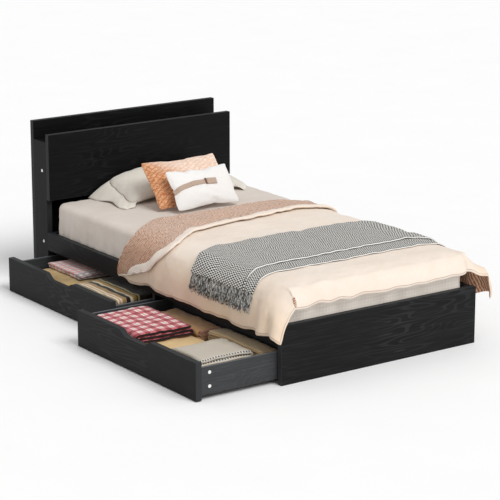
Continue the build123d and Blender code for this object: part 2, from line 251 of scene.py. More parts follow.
class Finish:
    """A node material in the making. Each method adds nodes and gives back the value that they make."""

    def __init__(self, name):
        self.material = bpy.data.materials.new(name)
        self.material.use_nodes = True
        self.tree = self.material.node_tree
        self.shader = self.tree.nodes["Principled BSDF"]

    def feed(self, socket, value):
        if isinstance(value, bpy.types.NodeSocket):
            self.tree.links.new(value, socket)
        elif isinstance(value, str):
            socket.default_value = colour(value)
        else:
            socket.default_value = value

    def node(self, kind, inputs=(), output=0, **settings):
        node = self.tree.nodes.new("ShaderNode" + kind)
        for key, value in settings.items():
            setattr(node, key, value)
        for key, value in dict(inputs).items():
            self.feed(node.inputs[key], value)
        return node.outputs[output]

    def at(self, size=1.0, layer=None, turn=0.0):
        """The place on the object, or on a UV layer, counted in steps of one size or three, in metres."""
        if layer:
            where = self.node("UVMap", uv_map=layer)
        else:
            where = self.node("TexCoord", output=3)
        scale = [1 / step for step in np.broadcast_to(size, 3).tolist()]
        return self.node("Mapping", {"Vector": where, "Scale": scale, "Rotation": (0, 0, turn)})

    def split(self, vector):
        parts = self.tree.nodes.new("ShaderNodeSeparateXYZ")
        self.feed(parts.inputs[0], vector)
        return list(parts.outputs)

    def measure(self, layer):
        """A UV layer's values, in metres."""
        return self.split(self.at(layer=layer))

    def maths(self, operation, *values):
        return self.node("Math", dict(enumerate(values)), operation=operation)

    def plus(self, a, b):
        return self.maths("ADD", a, b)

    def less(self, a, b):
        return self.maths("SUBTRACT", a, b)

    def times(self, a, b):
        return self.maths("MULTIPLY", a, b)

    def larger(self, a, b):
        return self.maths("MAXIMUM", a, b)

    def unsigned(self, value):
        return self.maths("ABSOLUTE", value)

    def fraction(self, value):
        return self.maths("FRACT", value)

    def sine(self, value, angle=math.tau):
        """The sine of a value, each unit of which is a whole turn or the angle given."""
        return self.maths("SINE", self.times(value, angle))

    def noise(self, vector, scale=1.0, detail=2.0, roughness=0.5, distortion=0.0):
        inputs = {"Vector": vector, "Scale": scale, "Detail": detail}
        inputs |= {"Roughness": roughness, "Distortion": distortion}
        return self.node("TexNoise", inputs)

    def level(self, value, low, high, start=0.0, end=1.0):
        inputs = {"Value": value, "From Min": low, "From Max": high, "To Min": start, "To Max": end}
        return self.node("MapRange", inputs, interpolation_type="SMOOTHSTEP")

    def mix(self, amount, first, second):
        return self.node("Mix", {0: amount, 6: first, 7: second}, 2, data_type="RGBA")

    def band(self, value, start, end, soft=0.02):
        """1 where value is between start and end, 0 elsewhere."""
        rise = self.level(value, start - soft, start + soft)
        fall = self.level(value, end - soft, end + soft)
        return self.less(rise, fall)

    def weave(self, where):
        """The height of a plain weave, from 0 to 1."""
        x, y, _ = self.split(where)
        crossing = self.times(self.sine(x, math.pi), self.sine(y, math.pi))
        return self.maths("MULTIPLY_ADD", crossing, 0.5, 0.5)

    def relief(self, height, depth, strength):
        return self.node("Bump", {"Height": height, "Distance": depth, "Strength": strength})

    def done(self, base, roughness, normal=None, **fixed):
        self.feed(self.shader.inputs["Base Color"], base)
        self.feed(self.shader.inputs["Roughness"], roughness)
        if normal is not None:
            self.feed(self.shader.inputs["Normal"], normal)
        for key, value in fixed.items():
            self.feed(self.shader.inputs[key.replace("_", " ")], value)
        return self.material


def edge_highlight_mask(f, low, high, width):
    """1 along the edges of a board that fills the box from low to high, and 0 on its faces: the mask of a
    painted edge highlight.
    """
    gaps = []
    for socket, a, b in zip(f.split(f.at()), low, high):
        from_middle = f.unsigned(f.less(socket, (a + b) / 2))
        gaps.append(f.less((b - a) / 2, from_middle))
    x, y, z = gaps
    least = f.maths("MINIMUM", x, y)
    middle = f.larger(least, f.maths("MINIMUM", f.larger(x, y), z))
    return f.level(middle, width, width * 0.2)


def board_finish(name, low, high, tones, loops=0.7, roughness=0.5, edge_face_highlight=True):
    """A wood board with its grain along its longest side, and lighter narrow edge faces and corners, which
    are a painted highlight.
    """
    f = Finish(name)
    # edge is the tone of the painted highlight on the board's edges.
    dark, light, edge = tones
    sides = [b - a for a, b in zip(low, high)]
    longest = sides.index(max(sides))
    thinnest = sides.index(min(sides))
    fine = [0.004, 0.004, 0.004]
    wide = [0.07, 0.07, 0.07]
    fine[longest] *= 45
    wide[longest] *= 7
    pores = f.noise(f.at(fine), detail=5, roughness=0.65)
    figure = f.noise(f.at(wide), detail=1.5, roughness=0.35, distortion=0.15)
    contours = f.sine(figure, 90)
    lines = f.level(contours, 0.35, 0.95)
    patch = f.level(f.noise(f.at(0.5), detail=1), 0.35, 0.7)
    shown = f.times(f.times(lines, patch), 0.75 * loops)
    streaks = f.level(pores, 0.42, 0.72)
    amount = f.plus(f.times(streaks, 0.45), shown)
    base = f.mix(amount, dark, light)
    # Painted highlight: the edge tone lightens the corners and, when asked for, the whole of each narrow
    # face, as light from above would.
    painted_highlight = f.times(edge_highlight_mask(f, low, high, 0.0016), 0.7)
    if edge_face_highlight:
        through = f.unsigned(f.split(f.node("NewGeometry", output=1))[thinnest])
        painted_highlight = f.larger(painted_highlight, f.level(through, 0.6, 0.3, 0, 0.85))
    base = f.mix(painted_highlight, base, edge)
    height = f.plus(pores, f.times(shown, 0.6))
    rough = f.level(pores, 0.2, 0.8, roughness - 0.08, roughness + 0.1)
    return f.done(base, rough, f.relief(height, 0.0002, 0.7), Specular_IOR_Level=0.12)


def plastic_finish(name, base, roughness):
    """Moulded plastic with a fine spark-eroded grain."""
    f = Finish(name)
    grain = f.noise(f.at(0.0009), detail=2)
    smudge = f.noise(f.at(0.02), detail=3)
    shade = f.mix(f.level(smudge, 0.3, 0.8, 0, 0.18), base, "#808080")
    rough = f.level(smudge, 0.3, 0.7, roughness, roughness + 0.12)
    return f.done(shade, rough, f.relief(grain, 0.00005, 0.5))


def zinc_finish():
    """Bright zinc-plated steel, slightly clouded and rubbed."""
    f = Finish("zinc_plated_steel")
    cloud = f.noise(f.at(0.006), detail=4, roughness=0.6)
    rub = f.noise(f.at((0.0006, 0.012, 0.0006)), detail=2)
    base = f.mix(f.level(cloud, 0.3, 0.7), "#a8abad", "#c9ccce")
    rough = f.level(rub, 0.3, 0.7, 0.24, 0.42)
    return f.done(base, rough, f.relief(rub, 0.00004, 0.5), Metallic=1.0)


def woven(name, base, shade, thread=0.0011, blotch=0.35, layer="flat"):
    """The start of a plain woven cloth: two thread colours in soft uneven patches, and the weave's height."""
    f = Finish(name)
    weave = f.weave(f.at(thread, layer))
    slub = f.noise(f.at((thread * 3, thread * 26, thread), layer), detail=3)
    patch = f.noise(f.at(0.16), detail=3, roughness=0.55)
    base_mix = f.mix(f.level(patch, 0.3, 0.75, 0, blotch), base, shade)
    threads = f.mix(f.level(slub, 0.45, 0.75, 0, 0.35), base_mix, shade)
    return f, threads, f.plus(weave, f.times(slub, 0.8))


def plain_cloth(*facts, depth=0.00025, **more):
    """Plain woven cloth with a little nap."""
    f, threads, height = woven(*facts, **more)
    normal = f.relief(height, depth, 0.6)
    return f.done(threads, 0.9, normal, Sheen_Weight=0.25, Sheen_Roughness=0.5, Specular_IOR_Level=0.2)


def painted_hang_shade(f, threads, near, far, most, tint):
    """The duvet's threads with painted shade that comes in where it hangs, from near to far from its middle.
    """
    across = f.unsigned(f.measure("flat")[0])
    return f.mix(f.level(across, near, far, 0, most), threads, tint)


def cream_finish():
    """The duvet's cream face, with a brown stitched line close to its hem and painted shade where it hangs
    down the sides.
    """
    f, threads, height = woven("cream_washed_cotton", "#f0e3d6", "#e8d5c2", blotch=0.5)
    from_hem = f.measure("edge")[1]
    stitched = f.band(from_hem, 0.0095, 0.0125, 0.001)
    # Painted shade: a darker, warmer cream where the duvet hangs down the sides.
    threads = painted_hang_shade(f, threads, 0.45, 0.64, 0.6, "#e9cdae")
    base = f.mix(f.times(stitched, 0.55), threads, "#9a6a4c")
    height = f.less(f.times(height, 0.15), stitched)
    return f.done(base, 0.9, f.relief(height, 0.0016, 0.6), Sheen_Weight=0.25, Specular_IOR_Level=0.2)


border_width = 0.048


def reverse_finish():
    """The duvet's brown reverse: crinkled seersucker threads, painted shade where it hangs down the sides,
    and the cream border along its edge.
    """
    f = Finish("duvet_reverse_crinkle")
    where = f.at((0.017, 0.0085, 0.01), "flat", turn=0.5)
    bend = f.noise(f.at(0.03, "flat"), detail=2)
    across = f.split(where)[1]
    row = f.maths("SINE", f.plus(f.times(across, math.tau), f.times(bend, 6)))
    fleck = f.noise(where, scale=1.3, detail=3, roughness=0.7)
    height = f.plus(f.times(row, 0.17), fleck)
    light = f.level(height, 0.36, 0.66)
    patch = f.noise(f.at((0.09, 0.05, 0.09), "flat"), detail=3)
    brown = f.mix(f.level(patch, 0.3, 0.7), "#8a5230", "#a56b47")
    threads = f.mix(light, brown, "#ecd3bf")
    # Painted shade: a darker brown where the reverse hangs down the sides.
    threads = painted_hang_shade(f, threads, 0.4, 0.6, 0.4, "#a0673d")
    from_edge = f.measure("edge")[0]
    border = f.level(from_edge, border_width + 0.0005, border_width - 0.0005)
    seam = f.band(from_edge, border_width - 0.0005, border_width + 0.0015, 0.0006)
    base = f.mix(border, threads, "#f0e2d4")
    base = f.mix(f.times(seam, 0.5), base, "#8b5b44")
    soft = f.times(f.weave(f.at(0.0011, "flat")), 0.2)
    relief = f.node("Mix", {0: border, 2: height, 3: soft})
    return f.done(base, 0.92, f.relief(relief, 0.0016, 0.7), Sheen_Weight=0.3, Specular_IOR_Level=0.15)


def houndstooth_finish():
    """Houndstooth, eight threads to a repeat: checks joined at alternate corners by slanting teeth."""
    f = Finish("houndstooth_wool")
    where = f.at((0.0026, 0.0055, 0.0026), "flat")
    x, y, _ = f.split(where)
    turns = []
    for along in (x, y):
        thread = f.maths("FLOOR", f.times(along, 2))
        turns.append(f.times(f.plus(thread, 0.5), math.pi / 4))
    turn_x, turn_y = turns
    check = f.times(f.maths("SINE", turn_x), f.maths("SINE", turn_y))
    tooth = f.times(f.maths("COSINE", f.less(turn_x, turn_y)), 0.16)
    dark = f.level(f.plus(check, tooth), -0.06, 0.06)
    fuzz = f.noise(f.at(0.0012, "flat"), detail=3, roughness=0.7)
    light_thread = f.mix(fuzz, "#cbc8c1", "#eceae5")
    dark_thread = f.mix(fuzz, "#0b0b0c", "#232426")
    base = f.mix(dark, light_thread, dark_thread)
    from_edge, from_end, _ = f.measure("edge")
    hem_width = 0.0045
    hem = f.times(f.band(from_edge, -0.001, hem_width, 0.0006), f.level(from_end, 0.035, 0.09))
    shadow = f.times(f.band(from_edge, hem_width, hem_width + 0.004, 0.0006), 0.75)
    base = f.mix(hem, base, "#f4f2ee")
    base = f.mix(shadow, base, "#2a2b2d")
    height = f.plus(f.weave(where), f.times(fuzz, 1.2))
    return f.done(base, 0.95, f.relief(height, 0.0005, 0.6), Sheen_Weight=0.2, Specular_IOR_Level=0.1)


def boucle_finish():
    """The throw's looped black, grey and white fringe yarn."""
    f = Finish("boucle_yarn")
    tuft = f.noise(f.at((0.02, 0.006, 0.02)), detail=4, roughness=0.7)
    twist = f.noise(f.at(0.0015), detail=2)
    base = f.mix(f.level(tuft, 0.42, 0.6), "#151516", "#dedcd6")
    base = f.mix(f.level(twist, 0.4, 0.8, 0, 0.35), base, "#6d6c70")
    return f.done(base, 0.95, f.relief(twist, 0.0006, 0.9), Sheen_Weight=0.2, Specular_IOR_Level=0.1)


def peach_finish():
    """The peach cushion's cover: a net of wrinkled stitch lines darkened with painted shade, deeper in colour
    at its left with painted shade and paler at its top right with painted light.
    """
    f = Finish("peach_crinkle_cloth")
    drift = f.noise(f.at((0.07, 0.05, 0.07), "flat"), detail=3)
    x, y, _ = f.measure("flat")
    wave_length, row_pitch = 0.085, 0.026
    swing = f.maths("SINE", f.plus(f.times(x, math.tau / wave_length), f.times(drift, 7)))
    lines = None
    for side in (1, -1):
        wave = f.maths("MULTIPLY_ADD", swing, 0.4 * side, f.maths("DIVIDE", y, row_pitch))
        bent = f.plus(wave, f.times(drift, 3.4))
        near = f.unsigned(f.less(f.fraction(bent), 0.5))
        line = f.level(near, 0.15, 0.02)
        lines = line if lines is None else f.larger(lines, line)
    # The crease lines, like the stitch lines, are darkened below as painted shade where they sink in.
    crease = f.noise(f.at((0.03, 0.011, 0.03), "flat"), detail=2, distortion=0.6)
    pucker = f.level(f.unsigned(f.less(crease, 0.5)), 0.035, 0.005)
    lines = f.larger(lines, f.times(pucker, 0.6))
    fine = f.noise(f.at((0.003, 0.006, 0.003), "flat"), detail=4, roughness=0.7)
    # Painted light and shade: deeper orange towards the lower left, in shade, and paler towards the top
    # right, where light falls.
    painted_light_share = f.level(f.plus(x, f.times(y, 0.9)), -0.13, 0.06)
    ground = f.mix(painted_light_share, "#e2a679", "#fae4d4")
    ground = f.mix(f.level(fine, 0.4, 0.8, 0, 0.35), ground, f.mix(painted_light_share, "#efcbab", "#fdf0e6"))
    # Painted shade: the colour of the lines is the shade in their creases.
    crease_shade = f.mix(painted_light_share, "#ad5f2e", "#efbf9d")
    base = f.mix(f.times(lines, 0.85), ground, crease_shade)
    height = f.less(f.times(fine, 0.25), f.times(lines, 0.8))
    return f.done(base, 0.8, f.relief(height, 0.0026, 0.8), Sheen_Weight=0.2, Specular_IOR_Level=0.2)


def checked_cloth(name, pitch, both, one, other, none, fine_lines, piping=None, end_tint=None):
    """Gingham: stripes both ways, darker where they cross, fine lines, and a piped edge or a tinted end."""
    f = Finish(name)
    x, y, _ = f.split(f.at(pitch, "flat"))
    warp = f.band(f.fraction(x), 0.0, 0.5)
    weft = f.band(f.fraction(y), 0.0, 0.5)
    slub = f.noise(f.at((0.002, 0.012, 0.002), "flat"), detail=3)
    base = f.mix(warp, none, one)
    base = f.mix(weft, base, other)
    base = f.mix(f.times(warp, weft), base, both)
    thin = f.larger(f.band(f.fraction(x), 0.7, 0.78), f.band(f.fraction(y), 0.7, 0.78))
    base = f.mix(f.times(thin, 0.6), base, fine_lines)
    base = f.mix(f.level(slub, 0.4, 0.8, 0, 0.3), base, none)
    height = f.plus(f.weave(f.at(0.0016, "flat")), slub)
    if piping:
        from_edge = f.measure("edge")[0]
        base = f.mix(f.band(from_edge, -0.001, 0.005, 0.0005), base, piping)
    if end_tint:
        near_end = f.level(f.measure("edge")[0], 0.06, 0.045, 0, 0.75)
        base = f.mix(near_end, base, f.mix(f.larger(warp, weft), "#dad9d7", end_tint))
    return f.done(base, 0.9, f.relief(height, 0.0004, 0.6), Sheen_Weight=0.2, Specular_IOR_Level=0.2)


def striped_cloth(name, stripes, ground, pitch, piping=None):
    """Towelling with stripes across one way: each stripe is its start, its end and its colour."""
    f = Finish(name)
    x, _, _ = f.measure("flat")
    along = f.fraction(f.maths("DIVIDE", x, pitch))
    loops = f.noise(f.at(0.0022, "flat"), detail=3, roughness=0.7)
    # Painted highlight: the pile is whiter on the tops of its loops.
    base = f.mix(f.level(loops, 0.3, 0.8, 0, 0.25), ground, "#ffffff")
    for start, end, tint in stripes:
        base = f.mix(f.band(along, start / pitch, end / pitch, 0.004), base, tint)
    # Painted shade: the pile is browner in the hollows between its loops.
    base = f.mix(f.level(loops, 0.3, 0.6, 0.2, 0), base, "#6b5a45")
    if piping:
        from_edge = f.measure("edge")[0]
        base = f.mix(f.band(from_edge, 0.001, 0.006, 0.0005), base, piping)
    rib_pitch = 0.003
    rib = f.sine(x, math.tau / rib_pitch)
    height = f.maths("MULTIPLY_ADD", rib, 0.3, loops)
    return f.done(base, 0.95, f.relief(height, 0.0009, 0.7), Sheen_Weight=0.3, Specular_IOR_Level=0.1)


def knit_finish():
    """Cream stocking-stitch knit, darker between its stitches with painted shade, with a white hem and a row
    of holes along its foot edge filled dark as painted shade.
    """
    f = Finish("cream_knit")
    x, y, _ = f.split(f.at((0.007, 0.0055, 0.007), "flat"))
    lean = f.unsigned(f.less(f.fraction(x), 0.5))
    stitch = f.sine(f.plus(y, lean))
    column = f.sine(f.fraction(x), math.pi)
    fuzz = f.noise(f.at(0.0015, "flat"), detail=3)
    height = f.maths("MULTIPLY_ADD", stitch, 0.4, column)
    # Painted shade: the knit is darker where its stitches sink in.
    base = f.mix(f.level(height, 0.1, 1.2), "#b9ad9a", "#ddd3c2")
    base = f.mix(f.level(fuzz, 0.3, 0.8, 0, 0.3), base, "#eee7d9")
    from_edge = f.measure("edge")[0]
    hem = f.band(from_edge, -0.01, 0.013, 0.001)
    base = f.mix(f.times(hem, 0.9), base, "#f4f0e8")
    hole_pitch = 0.014
    along = f.fraction(f.maths("DIVIDE", f.measure("flat")[1], hole_pitch))
    beside = f.maths("POWER", f.times(f.less(along, 0.5), hole_pitch), 2)
    above = f.maths("POWER", f.less(from_edge, 0.007), 2)
    hole = f.plus(beside, above)
    # Painted shade: each hole is filled with dark brown for the shade inside it.
    base = f.mix(f.level(hole, 0.00002, 0.000013), base, "#2c2620")
    return f.done(base, 0.95, f.relief(height, 0.0016, 0.9), Sheen_Weight=0.3, Specular_IOR_Level=0.1)


def ticking_finish():
    """The mattress cover: white knitted damask with faint woven diamonds."""
    f = Finish("mattress_ticking_knit")
    x, y, z = f.split(f.at(0.03))
    across = f.plus(x, y)
    diamonds = f.times(f.sine(f.plus(across, z)), f.sine(f.less(across, z)))
    knit = f.noise(f.at((0.0012, 0.0012, 0.0018)), detail=3)
    base = f.mix(f.level(diamonds, -0.2, 0.6), "#f6ecdf", "#fdf6ee")
    base = f.mix(f.level(knit, 0.35, 0.8, 0, 0.1), base, "#efe8df")
    height = f.plus(f.times(diamonds, 0.12), f.times(knit, 0.4))
    return f.done(base, 0.88, f.relief(height, 0.0006, 0.5), Sheen_Weight=0.25, Specular_IOR_Level=0.2)


def strap_finish():
    """Beige webbing with fine ribs along it."""
    f = Finish("beige_webbing")
    ribs = f.sine(f.split(f.at(0.0018, "flat"))[1])
    yarn = f.noise(f.at((0.004, 0.001, 0.002), "flat"), detail=3)
    base = f.mix(f.level(ribs, -0.4, 0.8), "#b39a88", "#cfb8a6")
    base = f.mix(f.level(yarn, 0.4, 0.8, 0, 0.3), base, "#a2897a")
    return f.done(base, 0.85, f.relief(f.plus(ribs, yarn), 0.0003, 0.7), Sheen_Weight=0.2)


# ---------------------------------------------------------------- cloth simulation


contact_gap = 0.004


def cloth_settings(piece, frames, bending, stiffness, mass, pressure=None):
    """Makes a piece a cloth, blown up from inside where a pressure is given."""
    modifier = piece.modifiers.new("cloth", "CLOTH")
    s = modifier.settings
    s.quality = 5
    s.mass = mass
    s.tension_stiffness = stiffness
    s.compression_stiffness = stiffness
    s.shear_stiffness = stiffness * 0.6
    s.bending_stiffness = bending
    s.tension_damping = 8
    s.compression_damping = 8
    s.shear_damping = 8
    s.bending_damping = 2
    s.air_damping = 1.0
    c = modifier.collision_settings
    c.use_self_collision = False
    if pressure is None:
        c.collision_quality = 2
        c.distance_min = contact_gap
    else:
        c.use_collision = False
        s.use_pressure = True
        s.uniform_pressure_force = pressure
        s.effector_weights.gravity = 0
    modifier.point_cache.frame_start = 1
    modifier.point_cache.frame_end = frames


def run_cloth(frames):
    """Steps every cloth in the scene from its first frame."""
    scene = bpy.context.scene
    scene.frame_start, scene.frame_end = 1, frames
    for step in range(1, frames + 1):
        scene.frame_set(step)


def duvet_guide():
    """A closed block that the duvet settles on: the mattress, widened so that the duvet clears the rails."""
    side = rail_side + 0.007
    foot = foot_end - 0.006
    back = duvet_back + 0.05
    top = bed_top + 0.001
    profile = [(0, 0.105), (0.004, 0.075), (0.014, 0.045), (0.032, 0.022), (0.06, 0.008)]
    profile += [(0.1, 0), (0.32, 0)]
    ring = 24
    points = []
    for drop, inset in profile:
        corner = 0.035 + inset * 0.5
        a, front = side - inset, foot + inset * 1.05
        centres = [(a - corner, front + corner, -90), (a - corner, back - corner, 0)]
        centres += [(-a + corner, back - corner, 90), (-a + corner, front + corner, 180)]
        for cx, cy, start in centres:
            for step in range(ring):
                turn = math.radians(start + 90 * step / (ring - 1))
                points.append((cx + corner * math.cos(turn), cy + corner * math.sin(turn), top - drop))
    around = 4 * ring
    faces = []
    for first in range(0, len(points) - around, around):
        for i in range(around):
            a, b = first + i, first + (i + 1) % around
            faces.append((a, a + around, b + around, b))
    faces.append(tuple(range(around)))
    faces.append(tuple(reversed(range(len(points) - around, len(points)))))
    guide = make_piece("duvet_guide", points, faces)
    with editing(guide) as mesh:
        bmesh.ops.recalc_face_normals(mesh, faces=mesh.faces)
        bmesh.ops.triangulate(mesh, faces=mesh.faces)
    guide.modifiers.new("collision", "COLLISION")
    guide.collision.thickness_outer = contact_gap
    guide.collision.thickness_inner = 0.02
    guide.collision.cloth_friction = 12
    guide.collision.damping = 0.5
    return guide


duvet_half = 0.717
duvet_main = 1.338
duvet_head = duvet_back - 0.012
duvet_step = 0.0155


def duvet_start():
    """The duvet laid loosely over the bed before it settles, and its rows and columns of points."""
    columns = int(2 * duvet_half / duvet_step) + 1
    rows = int(duvet_main / duvet_step) + 1
    u, v = np.meshgrid(np.linspace(-duvet_half, duvet_half, columns), np.linspace(0, duvet_main, rows))
    side = rail_side + 0.014
    line = np.array([(0, 0.012), (side - 0.06, 0.012), (side + 0.004, -0.07), (side + 0.008, -0.5)])
    reached = lengths_along(line)
    x = np.interp(np.abs(u), reached, line[:, 0]) * np.sign(u)
    z = np.interp(np.abs(u), reached, line[:, 1])
    foot = foot_end + 0.03
    straight = duvet_head - duvet_main + v
    beyond = np.maximum(foot - straight, 0)
    folded = 1 - smooth(side - 0.1, side + 0.01, np.abs(u))
    turn = folded * math.radians(80) + (1 - folded) * math.radians(22)
    y = np.maximum(straight, foot) - beyond * np.cos(turn) + 0.002 * waves(u, v, 0.2, 4)
    z = bed_top + z - beyond * np.sin(turn) + 0.004 * waves(u, v, 0.16, 3)
    return make_piece("duvet_cloth", place(x, y, z).reshape(-1, 3), grid_faces(rows, columns)), rows, columns


def envelope(name, width, height, step, seed):
    """Two cloths sewn together round their edge, front first, and their rows and columns."""
    columns, rows = int(width / step) + 1, int(height / step) + 1
    x, y = np.meshgrid(np.linspace(-0.5, 0.5, columns), np.linspace(-0.5, 0.5, rows))
    uneven = 1 + 0.5 * waves(x * width, y * height, 0.07, seed)
    rise = 0.008 * (1 - (2 * x) ** 4) * (1 - (2 * y) ** 4) * uneven
    front = place(x * width, y * height, rise).reshape(-1, 3)
    number = np.arange(rows * columns).reshape(rows, columns)
    inner = np.zeros((rows, columns), bool)
    inner[1:-1, 1:-1] = True
    behind = number.copy()
    behind[inner] = rows * columns + np.arange(inner.sum())
    back = front[inner.ravel()] * (1, 1, -1)
    faces = np.concatenate([grid_faces(rows, columns), behind.ravel()[grid_faces(rows, columns, flip=True)]])
    points = np.concatenate([front, back])
    piece = make_piece(name, points, faces, {"flat": points[:, :2]})
    piece.location.z = 4 + seed
    return piece, rows, columns


# ---------------------------------------------------------------- soft forms


def cushion(piece, grid, size, lean, middle, material, name, node, pull=0.3, rounding=0.03, sag=0.0):
    """Brings a settled envelope to its finished size and place, on the bed, and gives its front's points."""
    rows, columns = grid
    found = points_of(piece)
    cut = np.array([v.co for v in piece.data.vertices])
    found = (found - found.mean(axis=0)) * (pull, pull, 1)
    found += (cut - cut.mean(axis=0)) * (1 - pull, 1 - pull, 0)
    low, high = found.min(axis=0), found.max(axis=0)
    x, y, z = ((found - (low + high) / 2) / (high - low) * size).T
    drawn = 1 - rounding * np.abs(x * y * 4 / (size[0] * size[1])) ** 5
    x, y = x * drawn, y * drawn
    tilt = math.radians(lean)
    up, out = (0, math.cos(tilt), math.sin(tilt)), (0, -math.sin(tilt), math.cos(tilt))
    points = x[:, None] * (1, 0, 0) + y[:, None] * up + z[:, None] * out + np.array(middle)
    points[:, 2] -= sag * np.abs(2 * x / size[0]) ** 3
    rest = bed_top + 0.0015
    sunk = rest - 0.05 * np.minimum(rest - points[:, 2], 0.02)
    points[:, 2] = np.where(points[:, 2] < rest, sunk, points[:, 2])
    points[:, 1] = np.minimum(points[:, 1], headboard_face - 0.003)
    piece.modifiers.clear()
    piece.location = (0, 0, 0)
    piece.data.vertices.foreach_set("co", points.ravel())
    piece.data.update()
    piece.name = name
    piece.data.materials.append(material)
    finer = piece.modifiers.new("finer", "SUBSURF")
    finer.levels = finer.render_levels = 1
    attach(piece, "root")
    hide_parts(node)
    return points[:rows * columns].reshape(rows, columns, 3)


def ribbon(name, centre, normal, half_width, thickness, lift, material, flat_start=0.0):
    """A flat strap along a line of points on a surface."""
    aside = unit(np.cross(normal, unit(np.gradient(centre, axis=0))))
    across = np.linspace(-half_width, half_width, 7)
    points = centre[:, None] + aside[:, None] * across[None, :, None] + normal[:, None] * lift
    run = lengths_along(centre) + flat_start
    piece = shell(name, points, thickness, pair(run[:, None], across[None, :]))
    piece.data.materials.append(material)
    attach(piece, "root")
    return piece, run[-1] - flat_start


def serpentine(run, layers, pitch):
    """A cloth folded back and forth: each point's place along the run, height, and length of cloth so far."""
    steps = 14
    radius = pitch / 2
    reach = run - 2 * radius
    turns = np.linspace(0, math.pi, 8)[1:-1]
    p, h, s = [], [], []
    used = 0.0
    for layer in range(layers):
        forward = layer % 2 == 0
        t = np.linspace(0, 1, steps + 1)
        p.extend(radius + reach * (t if forward else 1 - t))
        h.extend([radius + layer * pitch] * (steps + 1))
        s.extend(used + t * reach)
        used += reach
        if layer < layers - 1:
            middle, sign = (radius + reach, 1) if forward else (radius, -1)
            p.extend(middle + sign * radius * np.sin(turns))
            h.extend(radius + layer * pitch + radius * (1 - np.cos(turns)))
            s.extend(used + radius * turns)
            used += math.pi * radius
    return np.array(p), np.array(h), np.array(s)


def folded_cloth(node, body, material, layers, axis, seed, hem_from_foot=False):
    """A cloth folded back and forth along an axis, in the space of its CAD solid."""
    low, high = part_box(node)
    size = high - low
    run, width = (size.x, size.y) if axis == "x" else (size.y, size.x)
    pitch = size.z / layers
    p, h, s = serpentine(run, layers, pitch)
    q = np.linspace(0, width, int(width / 0.012) + 1)
    share = (h / size.z)[:, None]
    uneven = 0.35 * pitch * waves(s[:, None], q[None, :], 0.16, seed)
    inward = np.clip(np.abs(p - run / 2) / (run / 2), 0, 1)[:, None] ** 4
    along = p[:, None] - np.sign(p - run / 2)[:, None] * inward * (0.3 * pitch + np.abs(uneven))
    side = np.sign(q - width / 2) * (np.abs(q - width / 2) / (width / 2)) ** 6
    across = q[None, :] - side[None, :] * 0.006 * (1 + waves(s[:, None], q[None, :] * 0, 0.2, seed + 1))
    sag = 0.0025 * share * (waves(along, across, 0.14, seed + 2) - 1)
    sag = sag + 0.0016 * share * waves(along, across, 0.05, seed + 3)
    sag = sag - 0.25 * pitch * share * (np.abs(side)[None, :] + inward * 0.5)
    height = h[:, None] + sag
    if axis == "x":
        points = place(low.x + along, low.y + across, low.z + height)
    else:
        points = place(low.x + across, low.y + along, low.z + height)
    from_sides = np.minimum(q, width - q)
    edge = np.broadcast_to(q if hem_from_foot else from_sides, along.shape)
    taper = 0.35 + 0.65 * np.sqrt(1 - (1 - np.clip(from_sides / 0.006, 0, 1)) ** 2)
    thickness = 0.84 * pitch * taper[None, :]
    piece = shell(node + "_folded", points, thickness, pair(q[None, :], s[:, None]), edge=edge)
    piece.data.materials.append(material)
    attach(piece, body)
    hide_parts(node)


def wrapped_box(low, high, corner, edge, step, reach):
    """A cloth wrapped down over a box with rounded corners and edges: its points, their outward directions,
    how far each lies over the edge, its flat places, and its faces."""
    middle, half = (low + high) / 2, (high - low) / 2
    columns = int(2 * (half.x - edge + reach) / step) + 1
    rows = int(2 * (half.y - edge + reach) / step) + 1
    a = np.linspace(-1, 1, columns) * (half.x - edge + reach)
    b = np.linspace(-1, 1, rows) * (half.y - edge + reach)
    a, b = np.meshgrid(a, b)
    core_x = np.clip(a, corner - half.x, half.x - corner)
    core_y = np.clip(b, corner - half.y, half.y - corner)
    away = np.maximum(np.hypot(a - core_x, b - core_y), 1e-9)
    nx, ny = (a - core_x) / away, (b - core_y) / away
    over = np.clip(away - (corner - edge), 0, reach)
    kept = np.minimum(away, corner - edge)
    quarter = edge * math.pi / 2
    side = 2 * half.z - 2 * edge
    first = np.clip(over, 0, quarter) / edge
    last = np.clip(over - quarter - side, 0, quarter) / edge
    out = edge * np.sin(first) - edge * (1 - np.cos(last))
    drop = edge * (1 - np.cos(first)) + np.clip(over - quarter, 0, side) + edge * np.sin(last)
    x, y = middle.x + core_x + nx * (kept + out), middle.y + core_y + ny * (kept + out)
    points = place(x, y, high.z - drop)
    facing = np.where(last > 0, math.pi / 2 + last, first)
    outward = place(nx * np.sin(facing), ny * np.sin(facing), np.cos(facing))
    return points, outward, over, pair(a, b), grid_faces(rows, columns)


def wrapped_piece(name, points, faces, flat, keep):
    """A piece of the faces that are kept, with the points that they share joined."""
    faces = faces[keep[faces].all(axis=1)]
    used, new = np.unique(faces, return_inverse=True)
    layers = {"flat": flat.reshape(-1, 2)[used]}
    piece = make_piece(name, points.reshape(-1, 3)[used], new.reshape(-1, 4), layers)
    with editing(piece) as mesh:
        bmesh.ops.remove_doubles(mesh, verts=mesh.verts, dist=0.0002)
        bmesh.ops.dissolve_degenerate(mesh, edges=mesh.edges, dist=0.0001)
    return piece


# ---------------------------------------------------------------- camera and studio

camera = bpy.data.objects.new("camera", bpy.data.cameras.new("camera"))
camera.data.lens = 148.053
camera.data.sensor_width = 36
camera.location = (-5.31942, -7.59247, 2.72139)
camera.rotation_euler = (math.radians(75.259403), 0, math.radians(-35.235184))
bpy.context.scene.collection.objects.link(camera)
bpy.context.scene.camera = camera

key = bpy.data.lights.new("key", "SUN")
key.energy = 1.8
key.angle = math.radians(32)
sun = bpy.data.objects.new("key", key)
sun.rotation_euler = (math.radians(42), 0, math.radians(9))
bpy.context.scene.collection.objects.link(sun)

